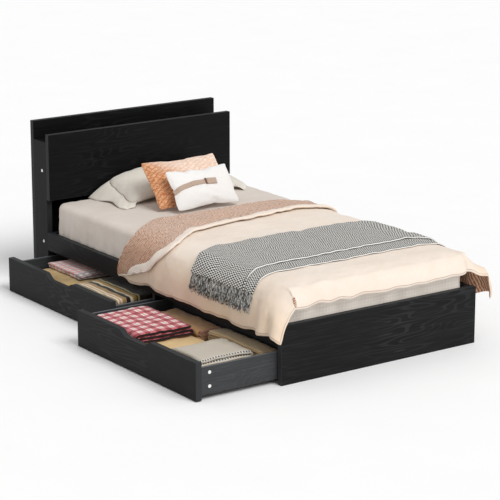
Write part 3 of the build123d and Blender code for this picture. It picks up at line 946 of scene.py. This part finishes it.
world = bpy.data.worlds.new("studio")
world.use_nodes = True
world.node_tree.nodes["Background"].inputs["Color"].default_value = colour("#ffffff")
world.node_tree.nodes["Background"].inputs["Strength"].default_value = 0.59
bpy.context.scene.world = world
bpy.context.scene.view_settings.view_transform = "Standard"

floor_finish = Finish("studio_floor")
floor_grain = floor_finish.noise(floor_finish.at(0.4))
floor_shade = floor_finish.mix(floor_grain, "#fbfbfb", "#ffffff")
floor = make_piece("floor", [(-40, -40, 0), (40, -40, 0), (40, 40, 0), (-40, 40, 0)], [(0, 1, 2, 3)])
floor.data.materials.append(floor_finish.done(floor_shade, 0.9))


# ---------------------------------------------------------------- finishes of the CAD pieces


def paint(node, material):
    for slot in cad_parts[node].material_slots:
        slot.material = material


oak_boards = [
    "footboard", "left_rail", "right_side_panel", "drawer_divider", "head_cross_rail", "headboard_back_panel",
    "headboard_front_panel", "headboard_left_side", "headboard_right_side", "headboard_centre_panel",
    "headboard_shelf", "near_drawer_front", "far_drawer_front",
]
pine_boards = ["centre_beam", "centre_legs", "slats", "slat_cleat_left", "slat_cleat_right"]
drawer_parts = "foot_side", "head_side", "back", "bottom"
drawer_boards = [f"{drawer}_drawer_{part}" for drawer in ("near", "far") for part in drawer_parts]
# Each set of tones is dark, light and the painted edge highlight. The headboard's set is a darker copy of the
# oak, which is painted shade.
headboard_shade_tones = "#0a0a0b", "#1d1e20", "#2c2d2f"
oak_tones = "#131314", "#323335", "#36383a"
drawer_tones = "#3a3b3c", "#56585a", "#6a6d71"
pine_tones = "#c39a68", "#e0bd8c", "#d9b787"
for node in oak_boards:
    headboard = node.startswith("headboard")
    tones = headboard_shade_tones if headboard else oak_tones
    paint(node, board_finish(node + "_oak", *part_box(node), tones, edge_face_highlight=node != "headboard_shelf"))
for node in drawer_boards:
    paint(node, board_finish(node + "_board", *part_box(node), drawer_tones, loops=0.35))
for node in pine_boards:
    paint(node, board_finish(node + "_pine", *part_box(node), pine_tones, roughness=0.6))
white_plastic = plastic_finish("white_cover_plastic", "#eeeeec", roughness=0.4)
black_plastic = plastic_finish("black_wheel_plastic", "#1b1b1c", roughness=0.45)
zinc = zinc_finish()
paint("frame_cam_covers", white_plastic)
paint("corner_brackets", zinc)
paint("bracket_screws", zinc)
for drawer in ("near", "far"):
    paint(f"{drawer}_drawer_cam_covers", white_plastic)
    paint(f"{drawer}_caster_brackets", zinc)
    paint(f"{drawer}_caster_axles", zinc)
    for corner in ("front_foot", "front_head", "back_foot", "back_head"):
        paint(f"{drawer}_wheel_{corner}", black_plastic)


# ---------------------------------------------------------------- cloths that settle together

frames = 26
duvet_cloth, duvet_rows, duvet_columns = duvet_start()
guide = duvet_guide()
peach, *peach_grid = envelope("peach_cloth", width=0.465, height=0.3, step=0.0105, seed=1)
lumbar, *lumbar_grid = envelope("lumbar_cloth", width=0.4, height=0.25, step=0.0095, seed=2)
pillow, *pillow_grid = envelope("pillow_cloth", width=0.68, height=0.36, step=0.0125, seed=3)
cloth_settings(duvet_cloth, frames, bending=8, stiffness=30, mass=0.4)
for sewn in (peach, lumbar, pillow):
    cloth_settings(sewn, frames, bending=0.4, stiffness=18, mass=0.25, pressure=7)
run_cloth(frames)
settled = points_of(duvet_cloth).reshape(duvet_rows, duvet_columns, 3)
remove(duvet_cloth)
remove(guide)


# ---------------------------------------------------------------- duvet

cream = cream_finish()
brown_reverse = reverse_finish()
duvet_thick = 0.0105
fold_reach = [
    (-0.673, 0.14), (-0.645, 0.225), (-0.58, 0.275), (-0.5, 0.328), (-0.42, 0.32), (-0.31, 0.303),
    (-0.17, 0.264), (0, 0.25), (0.17, 0.235), (0.35, 0.2), (0.48, 0.16), (0.56, 0.145), (0.673, 0.13),
]
left_hem = [
    (0.5, -0.062, -0.017, -0.073), (0.55, -0.034, -0.017, -0.112), (0.6, -0.01, -0.016, -0.148),
    (0.66, 0.001, -0.013, -0.187), (duvet_half, 0.011, -0.011, -0.23),
]
right_hem = [
    (0.47, -0.062, -0.007, -0.07), (0.6, 0.062, -0.007, -0.112), (0.66, 0.082, -0.007, -0.171),
    (duvet_half, 0.084, -0.007, -0.222),
]


def reach_line(first, last):
    """The turned-back part's reach across the duvet, from one given end to the other."""
    return curve_through([(u, reach, 0) for u, reach in (first, *fold_reach, last)], count=320)[:, :2]


def main_reach(u):
    """How far the duvet reaches from its foot hem before it turns back."""
    return duvet_main - 0.12 * smooth(0.29, 0.53, np.abs(u)) + 0.085 * smooth(0.5, 0.7, np.abs(u))


def hem_rounding(gap, width=0.011, least=0.16):
    """How thick a stuffed cloth is near its hem, as a share of its thickness."""
    return np.maximum(np.sqrt(1 - (1 - np.clip(gap / width, 0, 1)) ** 2), least)


def duvet_surface(u, v):
    """Points of the duvet's middle surface at u across it and v from its foot hem, with its wrinkles."""
    row = v / duvet_main * (duvet_rows - 1)
    column = (u + duvet_half) / (2 * duvet_half) * (duvet_columns - 1)
    points = sample(settled, row, column)
    normal = grid_normals(points)
    hang = smooth(0.5, 0.7, np.abs(u))
    foot = 1 - smooth(0.02, 0.12, v)
    rise = 0.0022 * waves(u, v, 0.17, 11) + 0.0008 * waves(u, v, 0.05, 12)
    rise = rise + 0.005 * hang * waves(v + 0.15 * u, 0 * v, 0.13, 13)
    rise = rise + 0.003 * foot * waves(u, 0.3 * v, 0.11, 14)
    sign = np.sign(normal[..., 2:].mean() or 1)
    points = points + sign * normal * rise[..., None]
    points[..., 1] = ease_below(points[..., 1], foot_end, 0.55)
    hem = sample(settled, 0 * row, column)
    hem[..., 1] = ease_below(hem[..., 1], foot_end, 0.55)
    for side, path in ((-1, left_hem), (1, right_hem)):
        across, out, beyond, drop = np.array(path).T
        x = side * (rail_side + np.interp(side * u, across, out))
        y = foot_end + np.interp(side * u, across, beyond)
        z = bed_top + np.interp(side * u, across, drop)
        share = (1 - smooth(0, 0.2, v)) * smooth(across[0] - 0.06, across[0], side * u)
        points = points + share[..., None] * (place(x, y, z) - hem)
    points[..., 2] = ease_below(points[..., 2], rail_low.z + 0.018, 0.3)
    points[..., 2] += 0.004 * hang**2 * waves(v, 0 * v, 0.16, 15) + 0.004 * foot * waves(u, 0 * u, 0.09, 16)
    return points


duvet_u = np.linspace(-duvet_half, duvet_half, 181)
main_length = main_reach(duvet_u)
fold_length = np.interp(duvet_u, *reach_line((-duvet_half, 0.004), (duvet_half, 0.004)).T)
main_v = np.linspace(0, 1, 171)[:, None] * main_length
main_sheet = duvet_surface(np.broadcast_to(duvet_u, main_v.shape), main_v)
main_normal = grid_normals(main_sheet)
fold_s = np.linspace(0, 1, 52)[:, None] * fold_length
fold_u = np.broadcast_to(duvet_u, fold_s.shape)
border_end = pair(np.linspace(-0.755, -0.72, 30), np.linspace(0.01, 0.13, 30))
border_middle = reach_line((-0.71, 0.135), (0.71, 0.13))
border = np.concatenate([border_end, border_middle, border_end[::-1] * (-1, 1)])
from_border = np.min(np.hypot(fold_u[..., None] - border[:, 0], fold_s[..., None] - border[:, 1]), axis=2)
fold_gap = 0.0125 + 0.006 * (1 - smooth(0, 0.07, from_border))
fold_gap = fold_gap * (1 - 0.75 * smooth(0.655, duvet_half, np.abs(fold_u)))
fold_gap = fold_gap + 0.0012 * waves(fold_u, fold_s, 0.07, 21)
fold_sheet = duvet_surface(fold_u, main_length - fold_s)
fold_sheet = fold_sheet - grid_normals(fold_sheet) * fold_gap[..., None]
radius = fold_gap[0][:, None] / 2
ahead = unit(main_sheet[-1] - main_sheet[-3])
roll = half_turn(main_sheet[-1], main_normal[-1] * radius, ahead * radius, steps=5)
duvet_sheet = np.concatenate([main_sheet, roll, fold_sheet])
roll_rows = np.ones((len(roll), 1))
across_gap = duvet_half - np.abs(duvet_u)
main_thick = duvet_thick * hem_rounding(np.minimum(main_v, across_gap))
fold_thick = duvet_thick * hem_rounding(np.minimum(fold_length - fold_s, across_gap))
seam = border_width + 0.001
seam_dip = np.exp(-(((from_border - seam) / 0.006) ** 2))
fold_thick = fold_thick * (1 + 0.25 * (1 - smooth(seam - 0.014, seam, from_border)) - 0.35 * seam_dip)
duvet_thickness = np.concatenate([main_thick, roll_rows * main_thick[-1], fold_thick])
duvet_flat_v = np.concatenate([main_v, main_length + roll_rows * 0.004, main_length + fold_s])
duvet_edge = np.concatenate([
    pair(1.0, np.minimum(main_v, across_gap)),
    pair(roll_rows * np.ones(len(duvet_u)), 1.0),
    pair(from_border, 1.0),
])
duvet_cut = pair(duvet_u, duvet_flat_v)
duvet = shell("duvet_quilt", duvet_sheet, duvet_thickness, duvet_cut, back=1, rim=1, edge=duvet_edge)
duvet.data.materials.append(cream)
duvet.data.materials.append(brown_reverse)
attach(duvet, "root")
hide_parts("duvet")
duvet_width = 2 * duvet_half


# ---------------------------------------------------------------- throw

throw_half = 0.562
throw_thick = 0.0052
throw_foot, throw_head, throw_turn = foot_end + 0.215, foot_end + 0.70, foot_end + 0.313


def on_duvet(u, v, lift):
    """Points at u across the duvet and v from its foot hem, at a height above its middle surface."""
    row = v / main_reach(u) * (main_sheet.shape[0] - 1)
    column = (u + duvet_half) / duvet_width * (main_sheet.shape[1] - 1)
    normal = unit(sample(main_normal, row, column))
    return sample(main_sheet, row, column) + normal * np.asarray(lift)[..., None]


def from_foot_hem(y):
    """How far up the flat duvet a place along the bed is."""
    return duvet_main - (duvet_head - y)


throw_u = np.linspace(-throw_half, throw_half, 190)
drawn_in = smooth(0.36, throw_half, np.abs(throw_u))
foot_v = from_foot_hem(throw_foot) - 0.02 * drawn_in + 0.003 * waves(throw_u, 0 * throw_u, 0.2, 31)
head_v = from_foot_hem(throw_head) - 0.062 * drawn_in + 0.004 * waves(throw_u, 0 * throw_u, 0.24, 32)
turn_v = from_foot_hem(throw_turn) - 0.06 * drawn_in + 0.004 * waves(throw_u, 0 * throw_u, 0.22, 33)
under_v = foot_v + np.linspace(0, 1, 66)[:, None] * (head_v - foot_v)
over_v = head_v - np.linspace(0, 1, 50)[:, None] * (head_v - turn_v)
wide_u, over_u = np.broadcast_to(throw_u, under_v.shape), np.broadcast_to(throw_u, over_v.shape)
first_lift = duvet_thick / 2 + throw_thick / 2 + 0.0015
creases = 0.0011 * (1 + waves(wide_u, under_v, 0.06, 34))
over_creases = 0.0011 * (1 + waves(over_u, over_v, 0.06, 34)) + 0.0012 * (1 + waves(over_u, over_v, 0.1, 35))
layer_gap = throw_thick + 0.0014
under = on_duvet(wide_u, under_v, first_lift + creases)
over = on_duvet(over_u, over_v, first_lift + layer_gap + over_creases)
half_gap = (over[0] - under[-1]) / 2
outward = unit(under[-1] - under[-3]) * np.linalg.norm(half_gap, axis=1, keepdims=True)
turn_over = half_turn(under[-1], half_gap, outward, steps=4)
throw_sheet = np.concatenate([under, turn_over, over])
under_run, over_run = under_v - foot_v, head_v - over_v
turn_length = 0.01
turn_run = under_run[-1] + np.linspace(0.2, 0.8, len(turn_over))[:, None] * turn_length
throw_run = np.concatenate([under_run, turn_run, under_run[-1] + turn_length + over_run])
throw_edge = np.concatenate([under_run, np.ones_like(turn_run), over_run[-1] - over_run])
throw_end = throw_half - np.abs(throw_u)
throw_thickness = throw_thick * hem_rounding(np.minimum(throw_edge, throw_end), width=0.005, least=0.4)
over_rows = slice(-len(over_run), None)
throw_thickness[over_rows] *= 1 + 0.8 * np.exp(-(((throw_edge[over_rows] - 0.005) / 0.004) ** 2))
throw_layers = pair(throw_edge, throw_end)
throw = shell("throw_houndstooth", throw_sheet, throw_thickness, pair(throw_u, throw_run), edge=throw_layers)
throw.data.materials.append(houndstooth_finish())
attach(throw, "root")
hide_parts("throw_blanket")


def fringe(name, end, seed):
    """Looped yarn ends that hang from one end of the throw and lie on the duvet."""
    draw = np.random.default_rng(seed)
    lines = []
    index = 0 if end < 0 else -1
    layers = [(foot_v[index], first_lift), (turn_v[index], first_lift + layer_gap)]
    last = head_v[index]
    for first, lift in layers:
        for v in np.arange(first + 0.002, last, 0.0034):
            length = draw.uniform(0.062, 0.094)
            k = np.linspace(0, 1, 11)
            curl = 0.0022 * np.sin(k * draw.uniform(9, 20) + draw.uniform(0, 6)) * k
            splay = 0.022 * smooth(0.8, 1, (v - first) / (last - first))
            drift = (draw.uniform(-0.007, 0.007) + splay) * k**2
            u = end * (throw_half - 0.006 + k * length)
            bob = 0.0018 * (1 + np.sin(k * draw.uniform(8, 18) + draw.uniform(0, 6)))
            lines.append(on_duvet(u, v + curl + drift, lift - 0.0012 + bob * (0.3 + k)))
    piece = tubes(name, lines, radius=0.00165)
    piece.data.materials.append(yarn)
    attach(piece, "root")
    return piece


yarn = boucle_finish()
fringes = [fringe("throw_fringe_left", -1, 41), fringe("throw_fringe_right", 1, 42)]


# ---------------------------------------------------------------- mattress and fitted sheet

mattress_corner = 0.045
points, outward, over, flat, faces = wrapped_box(
    mattress_low, mattress_high, corner=mattress_corner, edge=0.025, step=0.0165, reach=0.23,
)
x, y, z = np.moveaxis(points, -1, 0)
height = (z - mattress_low.z) / (mattress_high.z - mattress_low.z)
tuft_pitch = 0.115
tufts = (0.5 - 0.5 * np.cos((x + y) * math.tau / tuft_pitch)) ** 2
tufts = tufts * np.sin(math.pi * np.clip(height, 0, 1)) ** 0.5
quilting = 0.0016 * np.abs(np.sin(height * math.pi * 3))
on_side = smooth(0.02, 0.06, over)
points = points - outward * (on_side * (0.005 * tufts + 0.0016 - quilting))[..., None]
mattress = wrapped_piece("mattress_body", points, faces, flat, over.ravel() < 1)
with editing(mattress) as mesh:
    bmesh.ops.holes_fill(mesh, edges=[edge for edge in mesh.edges if edge.is_boundary], sides=0)
    bmesh.ops.recalc_face_normals(mesh, faces=mesh.faces)
mattress.data.materials.append(ticking_finish())
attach(mattress, "root")
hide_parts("mattress")


def mattress_tape(name, height):
    """The rolled tape edge that runs round the mattress."""
    inset, corner, steps = 0.006, mattress_corner, 8
    middle_y = (mattress_high.y + mattress_low.y) / 2
    half_x, half_y = mattress_high.x - inset, (mattress_high.y - mattress_low.y) / 2 - inset
    line = []
    for sx, sy, start in ((1, -1, -90), (1, 1, 0), (-1, 1, 90), (-1, -1, 180)):
        for step in range(steps + 1):
            turn = math.radians(start + 90 * step / steps)
            x = sx * (half_x - corner) + corner * math.cos(turn)
            y = middle_y + sy * (half_y - corner) + corner * math.sin(turn)
            line.append((x, y, height))
    line.append(line[0])
    piece = tubes(name, [line], radius=0.0042, sides=10)
    piece.data.materials.append(plain_cloth(name + "_tape", "#e4e0da", "#c9c2b8", layer=None))
    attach(piece, "root")


tape_inset = 0.022
mattress_tape("mattress_lower_tape", mattress_low.z + tape_inset)
mattress_tape("mattress_upper_tape", mattress_high.z - tape_inset)

sheet_box_low = sheet_low.copy()
sheet_box_low.y = mattress_low.y - 0.002
sheet_box_low.z = mattress_low.z
sheet_reach = 0.025 * math.pi / 2 + (sheet_high.z - 0.025 - sheet_low.z)
points, outward, over, flat, faces = wrapped_box(
    sheet_box_low, sheet_high, corner=0.047, edge=0.027, step=0.0125, reach=sheet_reach,
)
x, y, z = np.moveaxis(points, -1, 0)
folds = 1.1 + waves(x + y, 0 * x, 0.055, 51) + 0.6 * waves(x + y, z, 0.09, 52)
folds = 0.0032 * smooth(0.02, 0.14, over) * folds
creases = 0.0008 * waves(x, y, 0.09, 53) + 0.0006 * waves(x, y, 0.04, 54)
points = points + outward * (folds + creases)[..., None]
covered = (y > sheet_low.y).ravel()
sheet = wrapped_piece("fitted_sheet_cloth", points, faces, flat, covered)
solid = sheet.modifiers.new("thickness", "SOLIDIFY")
solid.thickness = 0.0012
solid.offset = 0
percale = plain_cloth("greige_percale", "#ddd3ca", "#cbbdaf", thread=0.0006, blotch=0.45, depth=0.00012)
sheet.data.materials.append(percale)
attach(sheet, "root")
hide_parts("fitted_sheet")


# ---------------------------------------------------------------- pillow and cushions

peach_low, peach_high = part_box("peach_cushion")
lumbar_low, lumbar_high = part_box("lumbar_pillow")
linen = plain_cloth("pale_linen", "#e4ded4", "#cfc6b8", thread=0.0012, blotch=0.5)
white = plain_cloth("white_cotton", "#eeecea", "#e2dfda", thread=0.0009, blotch=0.4)
cushion(
    peach, peach_grid, size=(0.435, 0.272, 0.084), lean=48.7, middle=(peach_low + peach_high) / 2,
    material=peach_finish(), name="peach_cushion_cover", node="peach_cushion",
)
front = cushion(
    lumbar, lumbar_grid, size=(0.368, 0.222, 0.062), lean=54, middle=(lumbar_low + lumbar_high) / 2,
    material=white, name="lumbar_pillow_cover", node="lumbar_pillow", pull=0.55, rounding=0.07,
)
pillow_middle = (0.085, headboard_face - 0.144, bed_top + 0.078)
case = cushion(
    pillow, pillow_grid, size=(0.65, 0.282, 0.142), lean=15, middle=pillow_middle, material=linen,
    name="sleeping_pillow_case", node="sleeping_pillow", pull=0.5, rounding=0.14, sag=0.045,
)


def pillow_flange(name, seam, hem):
    """The flat border at one end of the pillowcase, which falls from its seam to the bed."""
    length, width, steps = 0.33, 0.1, 60
    seam, hem = curve_through(seam, steps), curve_through(hem, steps)
    t = np.linspace(0, 1, 14)[:, None, None]
    knee = (seam + hem) / 2 + np.array((0, 0, 0.014))
    points = (1 - t) ** 2 * seam + 2 * t * (1 - t) * knee + t**2 * hem
    along = np.linspace(0, length, steps)
    ripple = 0.004 * waves(along, 0 * along, 0.075, 61)
    points[..., 2] += t[..., 0] * (1.6 - t[..., 0]) * ripple
    points[..., 2] = np.maximum(points[..., 2], bed_top + 0.002)
    piece = shell(name, points, thickness=0.0022, flat=pair(along, t[..., 0] * width))
    piece.data.materials.append(linen)
    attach(piece, "root")
    stitches = tubes(name + "_seam", [seam + np.array((0, 0, 0.0012))], radius=0.0011)
    stitches.data.materials.append(seam_thread)
    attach(stitches, "root")


seam_thread = plain_cloth("seam_thread", "#b3aa9d", "#968d80", layer=None)
bed = bed_top + 0.004
pillow_flange(
    "pillowcase_left_flange", case[::-1, 0],
    [(-0.321, 0.855, bed), (-0.312, 0.76, bed), (-0.272, 0.7, bed + 0.008), (-0.316, 0.6, bed),
     (-0.3, 0.535, bed), (-0.235, 0.56, bed)],
)
pillow_flange(
    "pillowcase_right_flange", case[:, -1],
    [(0.4, 0.555, bed), (0.452, 0.6, bed), (0.485, 0.67, bed), (0.505, 0.746, bed), (0.512, 0.83, bed)],
)

strap_path = [(0.0, 0.56), (0.07, 0.525), (0.2, 0.47), (0.34, 0.435), (0.48, 0.43)]
webbing = strap_finish()
last_row, last_column = front.shape[0] - 1, front.shape[1] - 1
front_normal = grid_normals(front)


def on_front(along, down):
    """Points and normals on the lumbar pillow's face, as shares of its width and height."""
    row, column = (1 - down) * last_row, along * last_column
    return sample(front, row, column), unit(sample(front_normal, row, column))


share = np.linspace(0, 0.515, 40)
centre, normal = on_front(share, np.interp(share, *np.array(strap_path).T))
strap_half, tab_half = 0.0118, 0.015
strap, strap_length = ribbon(
    "lumbar_strap_webbing", centre, normal, strap_half, thickness=0.0016, lift=0.0022, material=webbing,
)
share = np.linspace(0.54, 0.685, 14)
centre, normal = on_front(share, 0.43 + 0.1 * (share - 0.515))
tab, tab_length = ribbon(
    "lumbar_strap_tab", centre, normal, tab_half, thickness=0.0022, lift=0.0028, material=webbing,
    flat_start=0.4,
)
share = np.linspace(0.517, 0.535, 6)
centre, normal = on_front(share, np.full(6, 0.43))
keeper_cloth = plain_cloth("keeper_cloth", "#7d5c48", "#5f4636")
keeper, _ = ribbon(
    "lumbar_strap_keeper", centre, normal, half_width=0.0155, thickness=0.003, lift=0.0045,
    material=keeper_cloth, flat_start=0.3,
)
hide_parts("lumbar_strap")


# ---------------------------------------------------------------- linens in the drawers

tan = plain_cloth("tan_cotton_cloth", "#e4c38c", "#c9a76e", thread=0.0016, blotch=0.5, depth=0.0004)
brown = plain_cloth("brown_cotton_cloth", "#c79c6c", "#a37b50", thread=0.002, blotch=0.6, depth=0.0005)
burlap = plain_cloth("burlap_cloth", "#c6a972", "#8f7448", thread=0.0032, blotch=0.7, depth=0.001)
gingham = checked_cloth(
    "red_gingham", pitch=0.054, both="#8f1c2b", one="#c8656f", other="#c8656f", none="#efe5df",
    fine_lines="#b5404a", piping="#1d1a1b",
)
small_plaid = checked_cloth(
    "small_pink_plaid", pitch=0.036, both="#e88f8c", one="#f0b9b4", other="#c9c4c2", none="#f4f0ec",
    fine_lines="#5a5c60", end_tint="#8f8f90",
)
# Painted shade: these darker stripes stand for the shade in the towel's grooves.
groove_shade_stripes = [(0.004, 0.007, "#8f7448"), (0.014, 0.016, "#8f7448")]
grooved = striped_cloth("striped_tan_towel", groove_shade_stripes, ground="#d2b37f", pitch=0.02)
black, ivory = "#1f1c1a", "#efe4c8"
# The last, wide dark brown stripe is painted shadow: the bed rail's shadow over the inner part of the towels.
# The black stripes are the towels' own.
towel_stripes = [
    (0.0, 0.041, "#8f8069"), (0.041, 0.05, ivory), (0.05, 0.06, "#dba884"), (0.06, 0.07, ivory),
    (0.07, 0.091, "#b99463"), (0.093, 0.1135, black), (0.1135, 0.125, ivory), (0.125, 0.146, "#c49a4f"),
    (0.146, 0.152, black), (0.152, 0.165, "#eadc9f"), (0.165, 0.171, black), (0.171, 0.33, "#2b231d"),
]
towel = striped_cloth("striped_towel", towel_stripes, ground="#c9a873", pitch=0.33, piping=black)

linens = [
    ("near_tan_cloth", "tan_cotton", tan, 4, "x"),
    ("near_red_plaid_cloth", "red_plaid", gingham, 3, "x"),
    ("near_cream_knit_cloth", "cream_knit", knit_finish(), 2, "x"),
    ("near_striped_tan_cloth", "tan_cotton", grooved, 5, "y"),
    ("far_burlap_cloth", "burlap", burlap, 5, "x"),
    ("far_small_plaid_cloth", "small_plaid", small_plaid, 2, "x"),
    ("far_striped_towels", "striped_towel", towel, 5, "y"),
]
hemmed_at_foot = "near_cream_knit_cloth", "far_small_plaid_cloth"
for seed, (node, slot, material, layers, axis) in enumerate(linens, 71):
    drawer = node.split("_")[0] + "_drawer"
    folded_cloth(node, drawer, material, layers, axis, seed, hem_from_foot=node in hemmed_at_foot)


def cloth_fringe(name, low, high, layers):
    """Short twisted threads at the foot end of a folded cloth."""
    draw = np.random.default_rng(81)
    lines = []
    for layer in range(layers):
        level = low.z + (high.z - low.z) * (layer + 0.5) / layers
        for x in np.arange(low.x + 0.01, high.x - 0.01, 0.0032):
            k = np.linspace(0, 1, 7)
            reach = draw.uniform(0.014, 0.022)
            wave = 0.0012 * np.sin(k * 7 + draw.uniform(0, 6))
            lines.append(place(x + wave, low.y + 0.012 - k * reach, level - 0.009 * k**2 + 0 * k))
    piece = tubes(name, lines, radius=0.0009)
    piece.data.materials.append(plain_cloth("pink_fringe_thread", "#d3a58d", "#b98368", layer=None))
    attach(piece, "near_drawer")
    return piece


fringed_layers = 5
fringed_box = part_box("near_fringed_tan_cloth")
threads = cloth_fringe("near_fringed_cloth_fringe", *fringed_box, fringed_layers)
folded_cloth(
    "near_fringed_tan_cloth", "near_drawer", brown, fringed_layers, "x", seed=78,
)
